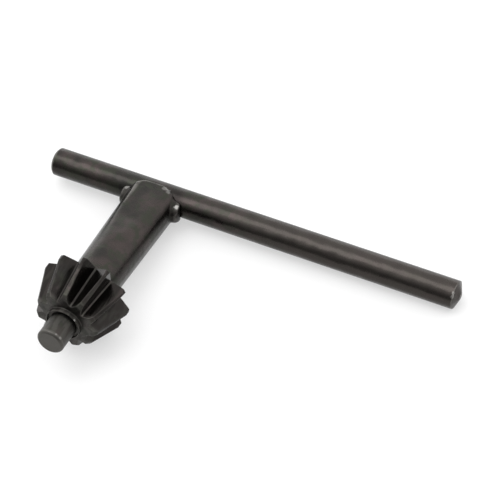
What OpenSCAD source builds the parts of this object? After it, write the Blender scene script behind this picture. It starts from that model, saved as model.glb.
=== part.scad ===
// Drill chuck key for a 13 mm key-type drill chuck: one forged and milled key body
// and one round cross bar welded into the saddle at the head of the body.
// All sizes in mm. The key is drawn first in its own plan (bar along X, body along -Y,
// both axes in the plane Z = 0) and is then laid on the table, which is Z = 0.

/* [Pilot and collar] */
// diameter of the pilot pin that enters the pilot hole of the chuck
pilot_d = 6; // [4:0.1:8]
// length of the pilot pin in front of the collar ring
pilot_len = 5.5; // [4:0.1:12]
// chamfer round the tip of the pilot pin
pilot_chamfer = 0.4; // [0.1:0.05:1]
// outer diameter of the collar ring at the root of the pilot
collar_d = 7.8; // [7:0.1:10]
// how far the collar ring stands in front of the pinion face
collar_len = 1.05; // [0.5:0.05:3]
// width of the ring-shaped recess between the collar ring and the pilot
recess_width = 0.6; // [0.2:0.05:0.8]
// depth of that recess, measured from the collar ring
recess_depth = 0.6; // [0.2:0.05:1]

/* [Bevel pinion] */
// number of teeth
teeth = 11; // [8:1:14]
// diameter over the tooth tips at the back of the pinion
tip_d_back = 19.7; // [16:0.1:24]
// diameter that the tip cone reaches at the front face
tip_d_front = 13.8; // [12:0.1:15]
// distance from the back of the pinion to its front face
pinion_len = 9.6; // [7:0.1:12]
// length of the straight band at the back, before the tip cone begins
band_len = 1.3; // [0.5:0.1:2.5]
// chamfer of the tooth tips at the front face, across the pinion
tip_chamfer = 0.45; // [0.1:0.05:0.8]
// the same chamfer, measured along the pinion
tip_chamfer_len = 0.75; // [0.3:0.05:1.2]
// how many degrees the back of the pinion leans towards the shank
back_lean = 19; // [0:1:30]
// depth of the tooth gaps at the back of the pinion
gap_depth_back = 2.9; // [1.8:0.05:3.3]
// depth of the tooth gaps at the front face
gap_depth_front = 1.7; // [1.2:0.05:2.2]
// width of the flat tooth tips at the back of the pinion
land_width = 0.95; // [0.6:0.05:1.6]
// width of the narrow floor of each tooth gap
gap_floor = 0.4; // [0.2:0.05:0.8]

/* [Shank and head] */
// distance from the cross bar axis to the back of the pinion
shank_len = 31.9; // [24:0.1:50]
// shank diameter at the head
shank_d_head = 11.5; // [10:0.1:13]
// shank diameter where it meets the pinion
shank_d_pinion = 10.3; // [9:0.1:12]
// radius of the fillet between shank and pinion
root_fillet = 1.3; // [0.5:0.1:2]
// thickness of the head across its two pressed flats
head_thickness = 8.8; // [8:0.1:10]
// distance from the bar axis to the end of the flats
flat_start = 0.95; // [0.5:0.05:2]
// length over which the flats run along the shank
flat_len = 12; // [8:0.5:16]
// rise of each flat over that length
flat_rise = 0.15; // [0.05:0.05:0.3]
// length over which the flats run out into the round shank
flat_runout = 9; // [5:0.5:11]
// chamfer round the end of the shank, across the shank
end_chamfer = 0.95; // [0.4:0.05:1.4]
// the same chamfer, measured along the shank
end_chamfer_len = 1.1; // [0.5:0.05:2]
// radius of the weld seam between the bar and the end of the shank
seam_r = 0.5; // [0.3:0.05:0.7]
// how far each cheek of weld metal stands out beyond the shank, along the bar
cheek_out = 1.3; // [0.5:0.1:3]
// radius of each cheek
cheek_r = 2.5; // [1.8:0.1:3]
// distance from the bar axis to the axis of the cheeks
cheek_drop = 3; // [1:0.1:3]
// rounding of the cheek ends
cheek_round = 0.8; // [0.3:0.1:1.5]

/* [Cross bar] */
// diameter of the cross bar
bar_d = 6.2; // [5:0.1:7]
// length of the short arm, from the body axis to the flat end
short_arm = 24.9; // [15:0.1:60]
// length of the long arm, from the body axis to the foot of its cone
long_arm = 69.2; // [40:0.1:120]
// chamfer at the flat end of the short arm
bar_chamfer = 0.5; // [0.1:0.05:1]
// height of the blunt cone at the end of the long arm
cone_height = 1; // [0.5:0.1:3]
// diameter of the small flat at the tip of that cone
cone_tip_d = 1.3; // [0.5:0.1:3]
// radial gap between the bar and its saddle
bar_play = 0.02; // [0.01:0.01:0.1]

/* [Hidden] */
// smoothness of the round faces
$fn = 96;
// amount by which a cutting shape overshoots the face it cuts
over = 1;

pilot_r = pilot_d / 2;
collar_r = collar_d / 2;
tip_r_back = tip_d_back / 2;
tip_r_front = tip_d_front / 2;
shank_r_head = shank_d_head / 2;
shank_r_pinion = shank_d_pinion / 2;
bar_r = bar_d / 2;
cone_tip_r = cone_tip_d / 2;

// stations along the body, measured from the bar axis towards the pilot
front_at = shank_len + pinion_len;
collar_at = front_at + collar_len;
tip_at = collar_at + pilot_len;
flat_end = flat_start + flat_len;

// half thickness of the head at the two ends of a flat
flat_z = head_thickness / 2;
flat_z_end = flat_z + flat_rise;

// tooth gap: angle of its floor line and slope of its sides
pitch = 360 / teeth;
floor_r_back = tip_r_back - gap_depth_back;
floor_r_front = tip_r_front - gap_depth_front;
floor_angle = atan((floor_r_back - floor_r_front) / pinion_len);
land_half = asin(land_width / tip_d_back);
edge_angle = pitch / 2 - land_half;
edge_rise = (tip_r_back * cos(edge_angle) - floor_r_back) * cos(floor_angle);
edge_out = tip_r_back * sin(edge_angle);
side_slope = (edge_out - gap_floor / 2) / edge_rise;

// back of the pinion: where its cone meets the fillet, and where the fillet begins
fillet_sweep = 90 - back_lean;
fillet_end_r = shank_r_pinion + root_fillet * (1 - cos(fillet_sweep));
fillet_end_at = shank_len - (tip_r_back - fillet_end_r) * tan(back_lean);
fillet_start_at = fillet_end_at - root_fillet * sin(fillet_sweep);

// start of the front chamfer, on the tip cone
chamfer_start_r = tip_r_front
    + (tip_r_back - tip_r_front) * tip_chamfer_len / (pinion_len - band_len);

// the saddle in the head, its two seams and its two cheeks
saddle_r = bar_r + bar_play;
end_r = shank_r_head - end_chamfer;
seam_z = sqrt(pow(saddle_r, 2) - pow(flat_start, 2));
seam_half = sqrt(pow(end_r, 2) - pow(seam_z, 2)) - 0.15;
cheek_half = shank_r_head + cheek_out;

// how the key comes to rest: the table touches the back corner of a tooth beside the
// lowest gap, the end of the lower flat and the foot of the cone on the long arm
rim_half = sqrt(pow(end_r, 2) - pow(flat_z, 2));
touch_tooth = [tip_r_back * sin(edge_angle), -shank_len, -tip_r_back * cos(edge_angle)];
touch_head = [rim_half, -flat_start, -flat_z];
function unit(v) = v / norm(v);
function up_through(a, b, c) = let (n = unit(cross(b - a, c - a))) n[2] > 0 ? n : -n;
function bar_low(up) = [long_arm, 0, 0] - bar_r * unit([0, up[1], up[2]]);
up_first = up_through(touch_tooth, touch_head, [long_arm, 0, -bar_r]);
up = up_through(touch_tooth, touch_head, bar_low(up_first));
side = unit([1, 0, 0] - up[0] * up);
back = cross(up, side);

// farthest reach of a disc (centre, radius, normal axis) along a direction
function reach(d, centre, r, axis) = d * centre + r * norm(cross(d, axis));
bar_axis = [1, 0, 0];
body_axis = [0, 1, 0];
x_high = max(reach(side, [long_arm + cone_height, 0, 0], cone_tip_r, bar_axis),
             reach(side, [long_arm, 0, 0], bar_r, bar_axis));
x_low = -max(reach(-side, [-short_arm, 0, 0], bar_r - bar_chamfer, bar_axis),
             reach(-side, [-short_arm + bar_chamfer, 0, 0], bar_r, bar_axis));
y_high = max(reach(back, [-short_arm + bar_chamfer, 0, 0], bar_r, bar_axis),
             reach(back, [long_arm, 0, 0], bar_r, bar_axis));
y_low = -max(reach(-back, [0, -tip_at, 0], pilot_r - pilot_chamfer, body_axis),
             reach(-back, [0, -tip_at + pilot_chamfer, 0], pilot_r, body_axis));
shift = [-(x_high + x_low) / 2, -(y_high + y_low) / 2, -(up * touch_tooth)];

// Lays the key on the table, with the middle of its plan box over the origin.
module lying() {
    multmatrix([
        [side[0], side[1], side[2], shift[0]],
        [back[0], back[1], back[2], shift[1]],
        [up[0], up[1], up[2], shift[2]],
        [0, 0, 0, 1]
    ])
    children();
}

// Turns a shape drawn along +Z so that it runs along the body, towards the pilot.
module along_body() {
    rotate([90, 0, 0])
    children();
}

// Turns a shape drawn along +Z so that it runs along the bar, towards the long arm.
module along_bar() {
    rotate([0, 90, 0])
    children();
}

// Turned outline of the body: shank, pinion blank, collar ring and pilot.
module turned_body() {
    fillet_steps = 6;
    fillet_turn = fillet_sweep / fillet_steps;
    head = [
        [0, flat_start],
        [end_r, flat_start],
        [shank_r_head, flat_start + end_chamfer_len]
    ];
    fillet = [
        for (i = [0 : fillet_steps])
            [shank_r_pinion + root_fillet * (1 - cos(i * fillet_turn)),
             fillet_start_at + root_fillet * sin(i * fillet_turn)]
    ];
    pinion = [
        [tip_r_back, shank_len],
        [tip_r_back, shank_len + band_len],
        [chamfer_start_r, front_at - tip_chamfer_len],
        [tip_r_front - tip_chamfer, front_at]
    ];
    pilot = [
        [collar_r, front_at],
        [collar_r, collar_at],
        [pilot_r + recess_width, collar_at],
        [pilot_r + recess_width, collar_at - recess_depth],
        [pilot_r, collar_at - recess_depth],
        [pilot_r, tip_at - pilot_chamfer],
        [pilot_r - pilot_chamfer, tip_at],
        [0, tip_at]
    ];
    rotate_extrude()
    polygon(concat(head, fillet, pinion, pilot));
}

// Space between two teeth: sloping sides and a narrow floor, running down the tip cone.
module tooth_gap() {
    run = pinion_len / cos(floor_angle) + 2 * gap_depth_back;
    high = 2 * gap_depth_back;
    spread = gap_floor / 2 + side_slope * high;
    translate([floor_r_back, 0, shank_len])
    rotate([0, -floor_angle, 0])
    translate([0, 0, -gap_depth_back])
    linear_extrude(height = run)
    polygon([
        [0, -gap_floor / 2],
        [high, -spread],
        [high, spread],
        [0, gap_floor / 2]
    ]);
}

// All tooth gaps; a tooth stands at the very top of the pinion.
module tooth_gaps() {
    for (i = [0 : teeth - 1])
        rotate([0, 0, 90 + (i + 0.5) * pitch])
        tooth_gap();
}

// Stock removed above one pressed flat, with its run-out into the round shank.
module flat_space() {
    half = shank_r_head + over;
    rise_end = shank_r_head + over;
    runout_z = flat_z_end + (shank_r_head - flat_z_end) * 0.95;
    rotate([90, 0, 90])
    translate([0, 0, -half])
    linear_extrude(height = 2 * half)
    polygon([
        [over, flat_z],
        [-flat_start, flat_z],
        [-flat_end, flat_z_end],
        [-flat_end - flat_runout, runout_z],
        [-flat_end - flat_runout, rise_end],
        [over, rise_end]
    ]);
}

// Weld seams: two beads that fill the corner between the end of the shank and the bar.
module seams() {
    for (z = [-seam_z, seam_z])
        translate([-seam_half, -flat_start, z])
        along_bar()
        cylinder(r = seam_r, h = 2 * seam_half);
}

// Cheeks: metal squeezed out sideways under the bar, with rounded ends.
module cheeks() {
    translate([0, -cheek_drop, 0])
    along_bar()
    rotate_extrude()
    polygon([
        [0, -cheek_half],
        [cheek_r - cheek_round, -cheek_half],
        [cheek_r - cheek_round * 0.3, -cheek_half + cheek_round * 0.3],
        [cheek_r, -cheek_half + cheek_round],
        [cheek_r, cheek_half - cheek_round],
        [cheek_r - cheek_round * 0.3, cheek_half - cheek_round * 0.3],
        [cheek_r - cheek_round, cheek_half],
        [0, cheek_half]
    ]);
}

// Key body: pilot, collar, pinion, shank and head in one piece.
module key_body() {
    color([0.20, 0.19, 0.19])
    lying()
    difference() {
        union() {
            difference() {
                along_body()
                turned_body();
                along_body()
                tooth_gaps();
                flat_space();
                mirror([0, 0, 1])
                flat_space();
            }
            seams();
            cheeks();
        }
        along_bar()
        cylinder(r = saddle_r, h = 2 * (cheek_half + over), center = true);
    }
}

// Cross bar: one round bar, flat at the short end and bluntly pointed at the long end.
module cross_bar() {
    color([0.24, 0.23, 0.22])
    lying()
    along_bar()
    rotate_extrude()
    polygon([
        [0, -short_arm],
        [bar_r - bar_chamfer, -short_arm],
        [bar_r, -short_arm + bar_chamfer],
        [bar_r, long_arm],
        [cone_tip_r, long_arm + cone_height],
        [0, long_arm + cone_height]
    ]);
}

key_body();
cross_bar();
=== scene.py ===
"""A drill chuck key lying on a pale table: black oxide finished body and cross bar."""

import logging
import math
from dataclasses import dataclass, field
from typing import Optional, Sequence, Union

import bmesh
import bpy
from mathutils import Euler, Matrix, Vector


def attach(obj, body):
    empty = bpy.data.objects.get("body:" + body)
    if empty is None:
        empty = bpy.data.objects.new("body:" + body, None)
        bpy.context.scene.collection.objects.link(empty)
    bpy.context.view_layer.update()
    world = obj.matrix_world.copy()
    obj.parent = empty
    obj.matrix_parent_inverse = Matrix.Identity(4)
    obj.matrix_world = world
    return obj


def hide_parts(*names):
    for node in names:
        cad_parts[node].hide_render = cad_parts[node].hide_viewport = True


log = logging.getLogger("chuck_key")

MM = 0.001
MIDDLE = 0.5  # of a noise value
WEAR = "edge_wear"  # the face attribute that says how far an edge is worn

Triple = tuple[float, float, float]
Colour = Triple
Step = tuple[float, float]  # where a smooth step starts and ends
Mark = tuple[float, float, float, float, float]  # x, y, z and radius, and how strong the painted glint is

# How the key lies on the table. Its own plan has the bar along X and the body along -Y.
PILOT_UP = 9.50194  # degrees by which the pilot points up
ARM_DOWN = 0.92201  # degrees by which the long arm points down
LAID = (Matrix.Translation((-22.6314 * MM, 22.36 * MM, 4.21313 * MM))
        @ Matrix.Rotation(math.radians(ARM_DOWN), 4, "Y")
        @ Matrix.Rotation(math.radians(-PILOT_UP), 4, "X"))


class Sock:
    """A shader socket that takes part in Python expressions."""

    def __init__(self, bench: "Bench", socket: bpy.types.NodeSocket) -> None:
        """Keeps the socket.

        Args:
            bench: The node tree's bench.
            socket: The output socket that is wrapped.
        """
        self.bench = bench
        self.socket = socket

    def _math(self, operation: str, *terms: "Term") -> "Sock":
        """Adds one Math node.

        Args:
            operation: The Math node's operation.
            terms: Its inputs, in order.

        Returns:
            The node's value.
        """
        return self.bench.node("ShaderNodeMath", {"operation": operation}, dict(enumerate(terms)))

    def __add__(self, other: "Term") -> "Sock":
        """self + other."""
        return self._math("ADD", self, other)

    __radd__ = __add__

    def __mul__(self, other: "Term") -> "Sock":
        """self * other."""
        return self._math("MULTIPLY", self, other)

    __rmul__ = __mul__

    def __sub__(self, other: "Term") -> "Sock":
        """self - other."""
        return self._math("SUBTRACT", self, other)

    def __rsub__(self, other: "Term") -> "Sock":
        """other - self."""
        return self._math("SUBTRACT", other, self)

    def __pow__(self, other: "Term") -> "Sock":
        """self ** other."""
        return self._math("POWER", self, other)

    def __rpow__(self, other: "Term") -> "Sock":
        """other ** self."""
        return self._math("POWER", other, self)

    def parts(self) -> tuple["Sock", "Sock", "Sock"]:
        """The three numbers of a vector."""
        first = self.bench.node("ShaderNodeSeparateXYZ", inputs={"Vector": self})
        return tuple(Sock(self.bench, out) for out in first.socket.node.outputs)

    def clamped(self) -> "Sock":
        """The value kept from 0 to 1."""
        return self._math("MINIMUM", self._math("MAXIMUM", self, 0.0), 1.0)

    def between(self, low: float, high: float) -> "Sock":
        """A smooth step of the value.

        Args:
            low: Where the step starts, as 0.
            high: Where it ends, as 1.

        Returns:
            The step's value.
        """
        return self.bench.node(
            "ShaderNodeMapRange", {"interpolation_type": "SMOOTHSTEP"},
            {"Value": self, "From Min": low, "From Max": high})


Term = Union[Sock, float]


@dataclass(frozen=True)
class Grain:
    """One layer of noise: features for each metre, octaves, the finer ones' weight, swirl."""

    scale: float = 1.0
    detail: float = 3.0
    roughness: float = 0.5
    swirl: float = 0.0


class Bench:
    """One node tree, and the few ways of adding to it."""

    def __init__(self, owner: Union[bpy.types.Material, bpy.types.World]) -> None:
        """Empties the owner's node tree.

        Args:
            owner: The material or the world.
        """
        self.owner = owner
        owner.use_nodes = True
        self.tree = owner.node_tree
        self.tree.nodes.clear()

    def node(self, kind: str, settings: Optional[dict] = None,
             inputs: Optional[dict] = None, output: Union[int, str] = 0) -> Sock:
        """Adds a node.

        Args:
            kind: The node's type.
            settings: Its own settings, set before anything is linked.
            inputs: A value or a link for each named or numbered socket.
            output: The socket that is handed back.

        Returns:
            The chosen output.
        """
        made = self.tree.nodes.new(kind)
        for key, value in (settings or {}).items():
            setattr(made, key, value)
        for key, value in (inputs or {}).items():
            socket = made.inputs[key]
            if isinstance(value, Sock):
                self.tree.links.new(value.socket, socket)
            else:
                socket.default_value = value
        return Sock(self, made.outputs[output])

    def vector(self, x: Term, y: Term, z: Term) -> Sock:
        """A vector of three numbers."""
        return self.node("ShaderNodeCombineXYZ", inputs={"X": x, "Y": y, "Z": z})

    def place(self) -> Sock:
        """The point on the object, in metres, in the table's frame."""
        return self.node("ShaderNodeTexCoord", output="Object")

    def in_plan(self, stretch: Triple = (1.0, 1.0, 1.0)) -> Sock:
        """The point in the key's own plan.

        Args:
            stretch: Factor on each of the plan's directions.

        Returns:
            The vector, in metres times the factors.
        """
        back = LAID.inverted()
        turned = self.node(
            "ShaderNodeMapping", {"vector_type": "POINT"},
            {"Vector": self.place(), "Location": back.to_translation(),
             "Rotation": back.to_euler("XYZ")})
        return self.node("ShaderNodeMapping", {"vector_type": "POINT"},
                         {"Vector": turned, "Scale": stretch})

    def noise(self, vector: Sock, grain: Grain) -> Sock:
        """Reads a layer of noise.

        Args:
            vector: Where it is read.
            grain: The layer of noise.

        Returns:
            The noise, around its middle value.
        """
        return self.node("ShaderNodeTexNoise", {"noise_dimensions": "3D"},
                         {"Vector": vector, "Scale": grain.scale, "Detail": grain.detail,
                          "Roughness": grain.roughness, "Distortion": grain.swirl})

    def mix(self, factor: Term, first: Union[Sock, Colour], second: Union[Sock, Colour]) -> Sock:
        """Mixes two colours.

        Args:
            factor: Share of the second colour.
            first: The first colour.
            second: The second colour.

        Returns:
            The mixed colour.
        """
        colours = {6: first, 7: second}
        inputs = {k: v if isinstance(v, Sock) else (*v, 1.0) for k, v in colours.items()}
        return self.node("ShaderNodeMix", {"data_type": "RGBA"}, {0: factor, **inputs}, output=2)

    def attribute(self, name: str) -> Sock:
        """Value of a named attribute of the mesh."""
        return self.node("ShaderNodeAttribute", {"attribute_name": name}, output="Fac")

    def finish(self, base: Union[Sock, Colour], roughness: Term, metallic: Term,
               height: Optional[Sock] = None, depth: float = 0.0,
               fixed: Optional[dict] = None) -> bpy.types.Material:
        """Ends the tree in a Principled shader.

        Args:
            base: Base colour.
            roughness: Roughness.
            metallic: Metallic.
            height: Height pattern for a bump, or None.
            depth: Depth of that bump in metres.
            fixed: Values that are the same all over, set on the shader's sockets.

        Returns:
            The material.
        """
        inputs = {"Base Color": base if isinstance(base, Sock) else (*base, 1.0),
                  "Roughness": roughness, "Metallic": metallic, **(fixed or {})}
        if height is not None:
            inputs["Normal"] = self.node("ShaderNodeBump", {},
                                         {"Height": height, "Distance": depth, "Strength": 1.0})
        shader = self.node("ShaderNodeBsdfPrincipled", {}, inputs)
        self.end("ShaderNodeOutputMaterial", shader)
        return self.owner

    def end(self, kind: str, shader: Sock) -> None:
        """Links a shader to a new output node.

        Args:
            kind: The output node's type.
            shader: The shader.
        """
        out = self.tree.nodes.new(kind)
        self.tree.links.new(shader.socket, out.inputs["Surface"])


@dataclass(frozen=True)
class BlackOxide:
    """Black oxide on steel: almost black, mottled brown and olive, thin on its edges."""

    name: str
    dark: Colour = (0.0262, 0.0252, 0.0236)
    warm: Colour = (0.0462, 0.0382, 0.0366)
    olive: Colour = (0.0318, 0.0342, 0.0268)
    # the colour of worn edges, also used as the painted highlight along the upper flat's left
    # edge
    worn_and_highlight: Colour = (0.110, 0.104, 0.097)
    # painted highlight: the light colour of the small glints
    glint_colour: Colour = (0.360, 0.350, 0.335)
    # painted shade: a near-black colour laid on the bar beside the head and on the right cheek
    painted_shade: Colour = (0.0100, 0.0095, 0.0090)
    clouds: Grain = Grain(170.0, 3.0, 0.55)
    blotches: Grain = Grain(480.0, 4.0, 0.6, 0.4)
    specks: Grain = Grain(2600.0, 2.0, 0.6)
    waves: Grain = Grain(160.0, 1.0)
    patches: Grain = Grain(620.0, 3.0, 0.6)
    ragged: Grain = Grain(1500.0, 2.0, 0.6)
    warm_step: Step = (0.35, 0.68)
    olive_step: Step = (0.44, 0.62)
    patch_step: Step = (0.30, 0.60)
    olive_share: float = 0.8
    roughness: float = 0.28
    blotch_rough: float = 0.16
    speck_rough: float = 0.12
    speck_high: float = 0.45
    blotch_high: float = 0.35
    wave_high: float = 4.0
    bump: float = 0.03 * MM
    ragged_by: float = 0.7 * MM
    mark_core: float = 0.45

    def material(self) -> bpy.types.Material:
        """Builds the finish, each kind in its own way."""
        raise NotImplementedError

    def coat(self, bench: Bench, point: Sock) -> tuple[Sock, Sock, Sock]:
        """The coating away from edges and grain.

        Args:
            bench: The material's bench.
            point: The point in the key's plan.

        Returns:
            Its colour, its roughness and its height.
        """
        cloudy = bench.noise(point, self.clouds)
        blotchy = bench.noise(point, self.blotches)
        speck = bench.noise(point, self.specks)
        waves = bench.noise(point, self.waves)
        base = bench.mix(cloudy.between(*self.warm_step), self.dark, self.warm)
        base = bench.mix(blotchy.between(*self.olive_step) * self.olive_share, base, self.olive)
        rough = ((blotchy - MIDDLE) * self.blotch_rough + (speck - MIDDLE) * self.speck_rough
                 + self.roughness)
        high = speck * self.speck_high + blotchy * self.blotch_high + waves * self.wave_high
        return base, rough, high

    def edges(self, bench: Bench, point: Sock, share: Term) -> Sock:
        """How far the coating is worn off the eased edges.

        Args:
            bench: The material's bench.
            point: The point in the key's plan.
            share: The most that is rubbed off, from 0 to 1.

        Returns:
            The mask.
        """
        patchy = bench.noise(point, self.patches)
        return bench.attribute(WEAR) * patchy.between(*self.patch_step) * share

    def painted_glints(self, bench: Bench, point: Sock, marks: Sequence[Mark]) -> Sock:
        """Painted highlights: small light glints on rounded edges and bosses.

        Args:
            bench: The material's bench.
            point: The point in the key's plan.
            marks: Place in the plan and radius of each glint in millimetres, and how strong it
                is.

        Returns:
            The mask.
        """
        ragged = (bench.noise(point, self.ragged) - MIDDLE) * self.ragged_by
        mask = 0.0
        for x, y, z, radius, share in marks:
            away = bench.node("ShaderNodeVectorMath", {"operation": "DISTANCE"},
                              {0: point, 1: (x * MM, y * MM, z * MM)}, output="Value")
            near = 1.0 - (away + ragged).between(radius * MM * self.mark_core, radius * MM)
            mask = mask + near * share
        return mask.clamped()


@dataclass(frozen=True)
class DrawnBlack(BlackOxide):
    """The finish on the drawn bar: fine lines along it, browner towards the long end."""

    brown: Colour = (0.0480, 0.0418, 0.0388)
    brown_step: Step = (6.0 * MM, 40.0 * MM)
    brown_share: float = 0.75
    drift: Grain = Grain(60.0, 2.0)
    drift_by: float = 30.0 * MM
    # painted shade on the bar beside the head: how far it runs along the bar and how softly it
    # fades
    seat_side: float = 6.3 * MM
    seat_fade: float = 1.4 * MM
    painted_shade_share: float = 0.75
    rubbed_share: float = 0.9
    lines: Grain = Grain(1.0, 2.0)
    line_stretch: Triple = (40.0, 1500.0, 1500.0)
    line_rough: float = 0.10
    line_high: float = 0.5
    dents: Grain = Grain(300.0, 1.0)
    dent_stretch: Triple = (0.8, 1.0, 1.0)
    dent_high: float = 7.0
    # painted highlights: glints on the cone's rim at the long end
    marks: tuple[Mark, ...] = ((69.2, -2.45, 1.75, 0.6, 0.45), (69.2, -1.95, 2.4, 0.5, 0.35))

    def material(self) -> bpy.types.Material:
        """Builds the finish.

        Returns:
            The material.
        """
        bench = Bench(bpy.data.materials.new(self.name))
        point = bench.in_plan()
        along, back, _ = point.parts()
        base, rough, height = self.coat(bench, point)
        lines = bench.noise(bench.in_plan(self.line_stretch), self.lines)
        drift = (bench.noise(point, self.drift) - MIDDLE) * self.drift_by
        dents = bench.noise(bench.in_plan(self.dent_stretch), self.dents)
        browner = (along + drift).between(*self.brown_step) * self.brown_share
        base = bench.mix(browner, base, self.brown)
        # painted shade: darken the bar's front beside the head
        base = bench.mix(self.shade_by_head(along, back) * self.painted_shade_share, base, self.painted_shade)
        base = bench.mix(self.edges(bench, point, self.rubbed_share), base, self.worn_and_highlight)
        # painted highlights: small light glints on the cone's rim
        base = bench.mix(self.painted_glints(bench, point, self.marks), base, self.glint_colour)
        rough = rough + (lines - MIDDLE) * self.line_rough
        height = height + lines * self.line_high + dents * self.dent_high
        return bench.finish(base, rough.clamped(), 1.0, height, self.bump)

    def shade_by_head(self, along: Sock, back: Sock) -> Sock:
        """Painted shade: where the bar's front is darkened beside the head, towards the long arm.

        Args:
            along: Distance along the bar from the body's axis.
            back: Distance behind the bar's own axis.

        Returns:
            The mask.
        """
        past = (along - self.seat_side).between(-self.seat_fade, self.seat_fade)
        ahead = 1.0 - back.between(-self.seat_fade, self.seat_fade)
        return (1.0 - past) * along.between(0.0, self.seat_side) * ahead


@dataclass(frozen=True)
class ForgedBlack(BlackOxide):
    """The finish on the key body: plain on the shank, deeper on the teeth, dull on the pilot."""

    deep: Colour = (0.0196, 0.0177, 0.0166)
    turned: Colour = (0.0620, 0.0600, 0.0545)
    end_face: Colour = (0.0790, 0.0750, 0.0690)
    pinion_step: Step = (29.4 * MM, 30.4 * MM)
    pilot_step: Step = (40.1 * MM, 41.5 * MM)
    end_step: Step = (47.0 * MM, 47.5 * MM)
    # painted shade on the right cheek: where it starts outwards and upwards
    cheek_out_step: Step = (4.6 * MM, 5.6 * MM)
    cheek_up_step: Step = (-7.5 * MM, -6.0 * MM)
    deep_share: float = 0.95
    turned_share: float = 0.75
    end_face_share: float = 0.9
    painted_shade_share: float = 0.6
    ridge_highlight_share: float = 0.8
    rubbed_share: float = 0.8
    kept_on_teeth: float = 0.68
    milled: float = 0.22
    lathed: float = 0.42
    rings: Grain = Grain(1.0, 1.0)
    ring_scale: float = 2600.0
    ring_high: float = 0.2
    cut: Grain = Grain(1.0, 2.0)
    cut_stretch: Triple = (2400.0, 260.0, 2400.0)
    cut_rough: float = 0.12
    cut_high: float = 0.8
    streaks: Grain = Grain(1.0, 3.0, 0.55)
    streak_stretch: Triple = (800.0, 160.0, 800.0)
    streak_step: Step = (0.44, 0.60)
    streak_share: float = 0.6
    # painted highlights: glints on the cheeks, the head's rim, the collar and the pilot's end
    marks: tuple[Mark, ...] = (
        (6.35, -3.75, 2.2, 0.62, 0.9), (-5.92, -3.0, 2.43, 0.62, 0.4),
        (2.6, -1.7, 4.4, 0.7, 0.22), (3.7, -2.0, 4.35, 0.8, 0.25),
        (2.88, -42.5, 2.6, 0.35, 0.7), (1.42, -47.5, 2.5, 0.4, 0.3),
        (2.11, -47.4, 1.8, 0.45, 0.3))
    # painted highlight along the left edge of the upper flat: where it runs and how wide it is
    ridge_across: float = -3.45 * MM
    ridge_up: float = 4.3 * MM
    ridge_step: Step = (0.225 * MM, 0.75 * MM)
    ridge_end_step: Step = (-9.5 * MM, -4.75 * MM)
    ridge_patches: Grain = Grain(420.0, 3.0, 0.6)

    def material(self) -> bpy.types.Material:
        """Builds the finish.

        Returns:
            The material.
        """
        bench = Bench(bpy.data.materials.new(self.name))
        point = bench.in_plan()
        x, y, z = point.parts()
        out = (x * x + z * z) ** 0.5
        down = 0.0 - y
        base, rough, height = self.coat(bench, point)
        teeth = down.between(*self.pinion_step)
        pilot = down.between(*self.pilot_step)
        gear = teeth * (1.0 - pilot)
        ringed = bench.vector(out * self.ring_scale, y * self.ring_scale, 0.0)
        rings = bench.noise(ringed, self.rings)
        cut = bench.noise(bench.in_plan(self.cut_stretch), self.cut)
        streaks = bench.noise(bench.in_plan(self.streak_stretch), self.streaks)
        worn = streaks.between(*self.streak_step) * self.streak_share
        cheek = x.between(*self.cheek_out_step) * y.between(*self.cheek_up_step)
        rubbing = self.rubbed_share - teeth * self.kept_on_teeth
        base = bench.mix(gear * (self.deep_share - worn), base, self.deep)
        base = bench.mix(pilot * (self.turned_share - worn), base, self.turned)
        # lighter colour on the pilot's end face
        base = bench.mix(down.between(*self.end_step) * self.end_face_share, base, self.end_face)
        # painted shade: darken the right cheek
        base = bench.mix(cheek * self.painted_shade_share, base, self.painted_shade)
        # painted highlight: lighten the left edge of the upper flat
        base = bench.mix(self.ridge_highlight(bench, point) * self.ridge_highlight_share, base, self.worn_and_highlight)
        base = bench.mix(self.edges(bench, point, rubbing), base, self.worn_and_highlight)
        # painted highlights: small light glints
        base = bench.mix(self.painted_glints(bench, point, self.marks), base, self.glint_colour)
        rough = rough - gear * (self.roughness - self.milled)
        rough = rough + (cut - MIDDLE) * gear * self.cut_rough
        rough = rough + pilot * (self.lathed - self.roughness)
        height = height + rings * pilot * self.ring_high + cut * gear * self.cut_high
        return bench.finish(base, rough.clamped(), 1.0, height, self.bump)

    def ridge_highlight(self, bench: Bench, point: Sock) -> Sock:
        """Painted highlight along the left edge of the upper flat, by the head.

        Args:
            bench: The material's bench.
            point: The point in the key's plan.

        Returns:
            The mask.
        """
        x, y, z = point.parts()
        across, up = x - self.ridge_across, z - self.ridge_up
        away = (across * across + up * up) ** 0.5
        patchy = bench.noise(point, self.ridge_patches).between(*self.patch_step)
        along = y.between(*self.ridge_end_step)
        return (1.0 - away.between(*self.ridge_step)) * along * patchy


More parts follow.
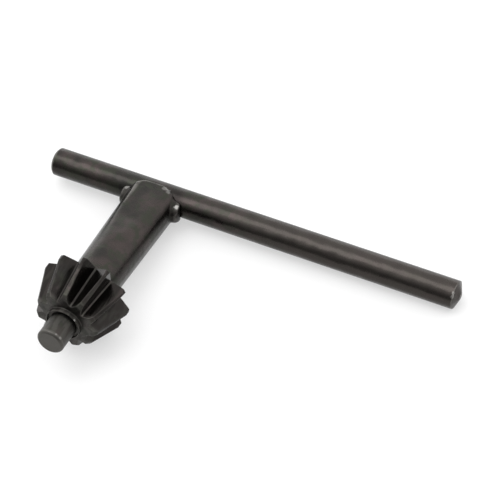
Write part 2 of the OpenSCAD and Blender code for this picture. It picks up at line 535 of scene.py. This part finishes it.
@dataclass
class Studio:
    """Pale table, soft light and the camera."""

    table_side: float = 3.0
    table_colour: Colour = (0.38, 0.38, 0.38)
    table_rough: float = 0.75
    table_glow: float = 0.50
    dome_way: Triple = (-0.15, 0.80, 0.58)
    dome_step: Step = (-0.55, 0.45)
    dome_gain: float = 1.80
    dome_least: float = 0.40
    wall_way: Triple = (-0.66, 0.75, 0.0)
    wall_step: Step = (0.25, 0.95)
    wall_top_step: Step = (0.05, 0.40)
    wall_gain: float = 0.9
    lamp_at: Triple = (-0.33, -0.06, 0.95)
    lamp_size: float = 0.66
    lamp_power: float = 2.5
    eye: Triple = (0.16111737, -0.23689935, 0.40071997)
    turned: Triple = (36.71844, 5.02775, 25.40962)
    lens: float = 169.76
    sensor: float = 36.0
    clip: Step = (0.01, 20.0)

    def build(self) -> None:
        """Builds everything that isn't the key."""
        self.table()
        self.sky()
        self.lamp()
        self.camera()

    def table(self) -> None:
        """The pale table top, at height 0."""
        bm = bmesh.new()
        bmesh.ops.create_grid(bm, x_segments=1, y_segments=1, size=self.table_side / 2)
        mesh = bpy.data.meshes.new("table_top")
        bm.to_mesh(mesh)
        bm.free()
        top = bpy.data.objects.new("table_top", mesh)
        bpy.context.scene.collection.objects.link(top)
        bench = Bench(bpy.data.materials.new("pale_table"))
        glow = {"Emission Color": (1.0, 1.0, 1.0, 1.0), "Emission Strength": self.table_glow}
        pale = bench.finish(self.table_colour, self.table_rough, 0.0, fixed=glow)
        mesh.materials.append(pale)

    def sky(self) -> None:
        """Soft surroundings: bright above and behind, darker in front and low."""
        world = bpy.data.worlds.new("soft_room")
        bench = Bench(world)
        way = bench.node("ShaderNodeTexCoord", output="Generated")
        x, y, z = way.parts()
        dome, wall = (x * right + y * far + z * up
                      for right, far, up in (self.dome_way, self.wall_way))
        dome = dome.between(*self.dome_step)
        wall = wall.between(*self.wall_step)
        wall = wall * (1.0 - z.between(*self.wall_top_step))
        glow = dome * self.dome_gain + self.dome_least + wall * self.wall_gain
        shade = bench.node("ShaderNodeBackground", inputs={"Strength": glow})
        bench.end("ShaderNodeOutputWorld", shade)
        bpy.context.scene.world = world

    def lamp(self) -> None:
        """The round soft light overhead, turned to the middle of the table."""
        data = bpy.data.lights.new("overhead", "AREA")
        data.shape = "DISK"
        data.size = self.lamp_size
        data.energy = self.lamp_power
        lamp = bpy.data.objects.new("overhead", data)
        lamp.location = self.lamp_at
        lamp.rotation_euler = (-Vector(self.lamp_at)).to_track_quat("-Z", "Y").to_euler()
        bpy.context.scene.collection.objects.link(lamp)

    def camera(self) -> None:
        """The camera at the photograph's viewing angle."""
        data = bpy.data.cameras.new("camera")
        data.lens = self.lens
        data.sensor_width = self.sensor
        data.clip_start, data.clip_end = self.clip
        eye = bpy.data.objects.new("camera", data)
        turn = Euler([math.radians(angle) for angle in self.turned])
        eye.matrix_world = Matrix.LocRotScale(Vector(self.eye), turn, None)
        bpy.context.scene.collection.objects.link(eye)
        bpy.context.scene.camera = eye
        bpy.context.scene.view_settings.view_transform = "Standard"


@dataclass
class Solid:
    """One solid of the key, with its sharp edges broken as tumbling leaves them."""

    node: str
    finish: BlackOxide
    edge: float = 0.14 * MM
    segments: int = 3
    sharp: float = 20.0
    merge: float = 0.002 * MM
    tiny: float = 0.03 * MM
    flat: float = 1.0

    def build(self, nodes: dict[str, bpy.types.Object]) -> None:
        """Makes the piece that stands for the CAD solid.

        Args:
            nodes: The CAD nodes by name.
        """
        bm = bmesh.new()
        bm.from_mesh(nodes[self.node].data)
        bmesh.ops.remove_doubles(bm, verts=bm.verts, dist=self.merge)
        self.shape(bm)
        piece = self.placed(bm)
        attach(piece, "root")
        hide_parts(self.node)

    def shape(self, bm: bmesh.types.BMesh) -> None:
        """Finishes the merged solid.

        Args:
            bm: The solid's mesh.
        """
        self.clean(bm)
        self.break_edges(bm)

    def clean(self, bm: bmesh.types.BMesh) -> None:
        """Dissolves the seams between flat triangles.

        Args:
            bm: The solid's mesh.
        """
        bmesh.ops.dissolve_degenerate(bm, dist=self.tiny, edges=bm.edges)
        bmesh.ops.dissolve_limit(bm, angle_limit=math.radians(self.flat), verts=bm.verts,
                                 edges=bm.edges, use_dissolve_boundaries=False, delimit=set())

    def round_off(self, bm: bmesh.types.BMesh, edges: list, offset: float,
                  segments: int) -> list:
        """Rounds some edges.

        Args:
            bm: The mesh.
            edges: The edges.
            offset: How far the rounding starts from each edge.
            segments: Steps in the rounding.

        Returns:
            The new faces.
        """
        made = bmesh.ops.bevel(
            bm, geom=edges, affect="EDGES", offset=offset, offset_type="OFFSET",
            segments=segments, profile=0.5, material=-1, clamp_overlap=False,
            loop_slide=True, miter_outer="SHARP", miter_inner="SHARP")
        return made["faces"]

    def break_edges(self, bm: bmesh.types.BMesh) -> None:
        """Rounds every sharp edge and marks the new faces as worn.

        Args:
            bm: The solid's mesh.
        """
        wear = bm.faces.layers.float.new(WEAR)
        sharp = [e for e in bm.edges
                 if e.is_manifold and e.calc_face_angle(0.0) > math.radians(self.sharp)]
        for face in self.round_off(bm, sharp, self.edge, self.segments):
            face[wear] = 1.0

    def placed(self, bm: bmesh.types.BMesh) -> bpy.types.Object:
        """Turns the mesh into a dressed object.

        Args:
            bm: The finished mesh.

        Returns:
            The object.
        """
        for face in bm.faces:
            face.smooth = True
        mesh = bpy.data.meshes.new(self.node + "_eased")
        bm.to_mesh(mesh)
        bm.free()
        mesh.materials.append(self.finish.material())
        piece = bpy.data.objects.new(self.node + "_eased", mesh)
        bpy.context.scene.collection.objects.link(piece)
        normals = piece.modifiers.new("even_normals", "WEIGHTED_NORMAL")
        normals.keep_sharp = True
        return piece


@dataclass
class CrossBar(Solid):
    """The round bar that the hand turns."""

    node: str = "cross_bar"
    finish: BlackOxide = field(default_factory=lambda: DrawnBlack("bar_black_oxide"))


@dataclass
class KeyBody(Solid):
    """Pilot, pinion, shank and head in one piece."""

    node: str = "key_body"
    finish: BlackOxide = field(default_factory=lambda: ForgedBlack("body_black_oxide"))
    skin: float = 0.17 * MM
    skin_rounds: int = 7
    ridge_low: float = 0.0020 * MM
    ridge_high: float = 0.0075 * MM
    seam_at: float = -28.9 * MM
    seam_gap: float = 0.1 * MM
    cheek_from: float = 5.6 * MM
    cheek_down_to: float = -6.5 * MM
    cheek_rounds: int = 30
    merge_from: float = 1.2 * MM
    merge_above: float = 2.6 * MM
    merge_beside: Step = (-14.0 * MM, -1.9 * MM)
    merge_below: Step = (-23.5 * MM, -9.5 * MM)
    merge_rounds: int = 60
    melting: float = 0.5
    hair: float = 0.0001 * MM

    def shape(self, bm: bmesh.types.BMesh) -> None:
        """Joins a soft forged head and shank to the crisp milled pinion.

        Args:
            bm: The merged solid's mesh.
        """
        plan = LAID.inverted()
        forging = self.forging(bm, plan)
        self.clean(bm)
        self.break_edges(bm)
        self.trim(bm, self.seam_at - self.seam_gap, head=False)
        bm.from_mesh(forging)
        bpy.data.meshes.remove(forging)
        seam = [e for e in bm.edges if e.is_boundary]
        bmesh.ops.bridge_loops(bm, edges=seam)
        bmesh.ops.recalc_face_normals(bm, faces=bm.faces)

    def forging(self, bm: bmesh.types.BMesh, plan: Matrix) -> bpy.types.Mesh:
        """The head and the shank with the soft edges of a forging.

        Args:
            bm: The merged solid's mesh.
            plan: Turns a point into the key's plan.

        Returns:
            The skin, cut off behind the pinion.
        """
        hard = bpy.data.meshes.new("hard_body")
        bm.to_mesh(hard)
        blank = bpy.data.objects.new("hard_body", hard)
        bpy.context.scene.collection.objects.link(blank)
        even = blank.modifiers.new("even_skin", "REMESH")
        even.mode = "VOXEL"
        even.voxel_size = self.skin
        seen = blank.evaluated_get(bpy.context.evaluated_depsgraph_get())
        skin = bpy.data.meshes.new_from_object(seen)
        bpy.data.objects.remove(blank)
        bpy.data.meshes.remove(hard)
        soft = bmesh.new()
        soft.from_mesh(skin)
        self.melt(soft, soft.verts[:], self.skin_rounds)
        self.melt(soft, [v for v in soft.verts if self.on_cheek(plan @ v.co)],
                  self.cheek_rounds)
        self.melt(soft, [v for v in soft.verts if self.on_merge(plan @ v.co)],
                  self.merge_rounds)
        self.trim(soft, self.seam_at, head=True)
        self.mark_ridges(soft, plan)
        soft.to_mesh(skin)
        soft.free()
        return skin

    def melt(self, bm: bmesh.types.BMesh, verts: list, rounds: int) -> None:
        """Smooths some vertices.

        Args:
            bm: The mesh.
            verts: The vertices.
            rounds: How many times.
        """
        for _ in range(rounds):
            bmesh.ops.smooth_vert(bm, verts=verts, factor=self.melting,
                                  use_axis_x=True, use_axis_y=True, use_axis_z=True)

    def mark_ridges(self, bm: bmesh.types.BMesh, plan: Matrix) -> None:
        """Marks the faces along the rounded ridges of the forging as worn.

        Args:
            bm: The forging.
            plan: Turns a point into the key's plan.
        """
        wear = bm.faces.layers.float.new(WEAR)
        bm.normal_update()
        proud = {}
        for vert in bm.verts:
            ring = [e.other_vert(vert).co for e in vert.link_edges]
            middle = sum(ring, Vector()) / len(ring)
            proud[vert] = (vert.co - middle).dot(vert.normal)
        for face in bm.faces:
            height = sum(proud[v] for v in face.verts) / len(face.verts)
            share = (height - self.ridge_low) / (self.ridge_high - self.ridge_low)
            if not self.on_merge(plan @ face.calc_center_median()):
                face[wear] = min(max(share, 0.0), 1.0)

    def on_merge(self, at: Vector) -> bool:
        """Whether a point lies where a flat runs smoothly into the shank.

        Args:
            at: The point in the key's plan.

        Returns:
            Whether it lies there.
        """
        (beside_low, beside_high), (low, high) = self.merge_beside, self.merge_below
        beside = at.x > self.merge_from and beside_low < at.y < beside_high
        return abs(at.z) > self.merge_above and (beside or low < at.y < high)

    def on_cheek(self, at: Vector) -> bool:
        """Whether a point of the key's plan lies on a cheek."""
        return abs(at.x) > self.cheek_from and at.y > self.cheek_down_to

    def trim(self, bm: bmesh.types.BMesh, station: float, head: bool) -> None:
        """Cuts the body across its axis.

        Args:
            bm: The mesh.
            station: Where the cut is, on the plan's Y.
            head: Whether the head's side is kept, or else the pinion's.
        """
        turn = LAID.to_3x3()
        bmesh.ops.bisect_plane(
            bm, geom=bm.verts[:] + bm.edges[:] + bm.faces[:], dist=self.hair,
            plane_co=LAID @ Vector((0.0, station, 0.0)), plane_no=turn @ Vector((0.0, 1.0, 0.0)),
            clear_inner=head, clear_outer=not head)


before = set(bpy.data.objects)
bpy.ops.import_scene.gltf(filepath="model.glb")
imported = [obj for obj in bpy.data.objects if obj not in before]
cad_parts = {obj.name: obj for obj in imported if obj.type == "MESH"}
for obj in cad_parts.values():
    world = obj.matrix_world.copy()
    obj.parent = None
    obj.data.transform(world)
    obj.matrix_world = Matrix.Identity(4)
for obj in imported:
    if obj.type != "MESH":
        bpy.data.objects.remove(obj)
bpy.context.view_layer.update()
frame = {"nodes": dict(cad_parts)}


def main() -> None:
    """Builds the studio and the key."""
    logging.basicConfig(level=logging.INFO, format="%(name)s: %(message)s")
    Studio().build()
    for part in (CrossBar(), KeyBody()):
        part.build(frame["nodes"])
        log.info("built %s", part.node)


if __name__ == "__main__":
    main()
